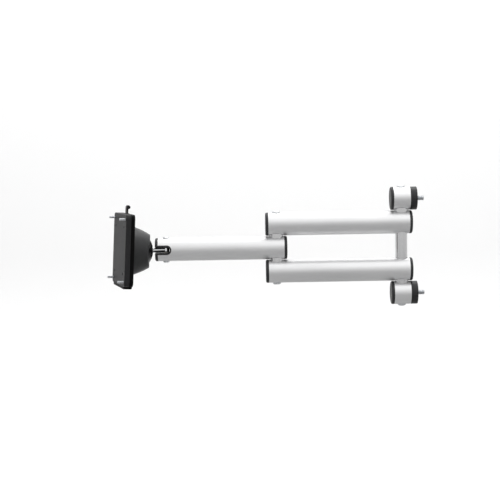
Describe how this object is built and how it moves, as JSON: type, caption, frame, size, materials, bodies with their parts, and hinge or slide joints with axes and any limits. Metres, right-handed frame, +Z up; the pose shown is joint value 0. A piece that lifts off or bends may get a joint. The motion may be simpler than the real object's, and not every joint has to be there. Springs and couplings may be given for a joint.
{
  "type": "monitor arm",
  "caption": "Column-mounted monitor arm: twin rear tubes, a folding front tube, a dome tilt head and quick-release screen plates with a latch.",
  "frame": {"origin": "on the column's face, midway between the two column bolts", "axes": "+X towards the column, +Z up, the arm reaches towards -X"},
  "size_m": [0.5257, 0.1168, 0.1992],
  "materials": {
    "anodised_tube": "satin anodised",
    "end_caps": "fine-textured moulding",
    "black_casting": "black powder coat",
    "core_plastic": "glass-filled moulding",
    "bright_steel": "turned and polished",
    "zinc_steel": "bright zinc plate",
    "spring_steel": "oiled spring steel",
    "bush_nylon": "natural nylon",
    "neck_chrome": "bright chrome plate",
    "dome_black": "polished moulding",
    "housing_grey": "fine-textured moulding",
    "plate_black": "black powder coat",
    "plate_grey": "dark grey powder coat",
    "latch_black": "fine-textured moulding"
  },
  "bodies": {
    "column_bracket": {"column_adapters": "black_casting", "stub_tubes": "anodised_tube", "stub_front_caps": "end_caps", "column_bolts": "zinc_steel", "shoulder_pin": "bright_steel", "shoulder_pin_screws": "zinc_steel", "shoulder_thrust_rings": "bright_steel"},
    "rear_arm": {"upper_rear_tube": "anodised_tube", "lower_rear_tube": "anodised_tube", "rear_shoulder_inserts": "core_plastic", "rear_elbow_inserts": "core_plastic", "shoulder_bushes": "bush_nylon", "shoulder_spacer_sleeve": "bright_steel", "rear_tube_front_caps": "end_caps", "rear_tube_rear_caps": "end_caps", "elbow_pin": "bright_steel", "elbow_pin_screws": "zinc_steel", "elbow_thrust_rings": "bright_steel"},
    "front_arm": {"front_tube": "anodised_tube", "front_elbow_insert": "core_plastic", "elbow_bushes": "bush_nylon", "front_tube_rear_cap": "end_caps", "slotted_end_plug": "end_caps", "pan_washers": "bush_nylon", "pan_bolt": "zinc_steel", "pan_nut": "zinc_steel"},
    "neck": {"neck": "neck_chrome", "friction_dome": "dome_black", "neck_washer": "zinc_steel", "neck_nut": "zinc_steel"},
    "tilt_head": {"tilt_housing": "housing_grey", "dome_liner_ring": "bush_nylon", "clamp_cup": "core_plastic", "clamp_spring": "spring_steel", "housing_base": "housing_grey", "housing_base_screws": "zinc_steel", "turn_friction_ring": "bush_nylon"},
    "screen_plates": {"arm_side_plate": "plate_black", "turn_bolt": "zinc_steel", "turn_washer": "zinc_steel", "turn_nut": "zinc_steel", "monitor_side_plate": "plate_grey", "vesa_screws": "zinc_steel", "latch_pin": "zinc_steel", "latch_spring": "spring_steel"},
    "latch": {"release_latch": "latch_black"}
  },
  "joints": [
    {"name": "shoulder", "type": "hinge", "parent": "column_bracket", "child": "rear_arm", "pos_m": [-0.0254, 0, 0], "axis": [0, 0, 1], "range_deg": [-90, 90]},
    {"name": "elbow", "type": "hinge", "parent": "rear_arm", "child": "front_arm", "pos_m": [-0.2314, 0, 0], "axis": [0, 0, 1], "range_deg": [-135, 135]},
    {"name": "head_pan", "type": "hinge", "parent": "front_arm", "child": "neck", "pos_m": [-0.4129, 0, 0], "axis": [0, 0, 1], "range_deg": [-35, 5]},
    {"name": "head_tilt", "type": "hinge", "parent": "neck", "child": "tilt_head", "pos_m": [-0.46719, -0.01455, 0], "axis": [-0.2588, 0.9659, 0], "range_deg": [-17, 13]},
    {"name": "head_turn", "type": "hinge", "parent": "tilt_head", "child": "screen_plates", "pos_m": [-0.46719, -0.01455, 0], "axis": [-0.9644, -0.2584, 0.0558], "range_deg": [-90, 90]},
    {"name": "latch_pull", "type": "hinge", "parent": "screen_plates", "child": "latch", "pos_m": [-0.47466, -0.01655, 0.047], "axis": [-0.2588, 0.9659, 0], "range_deg": [0, 14], "stiffness_Nm_per_rad": 0.3, "springref_deg": -20.05}
  ]
}
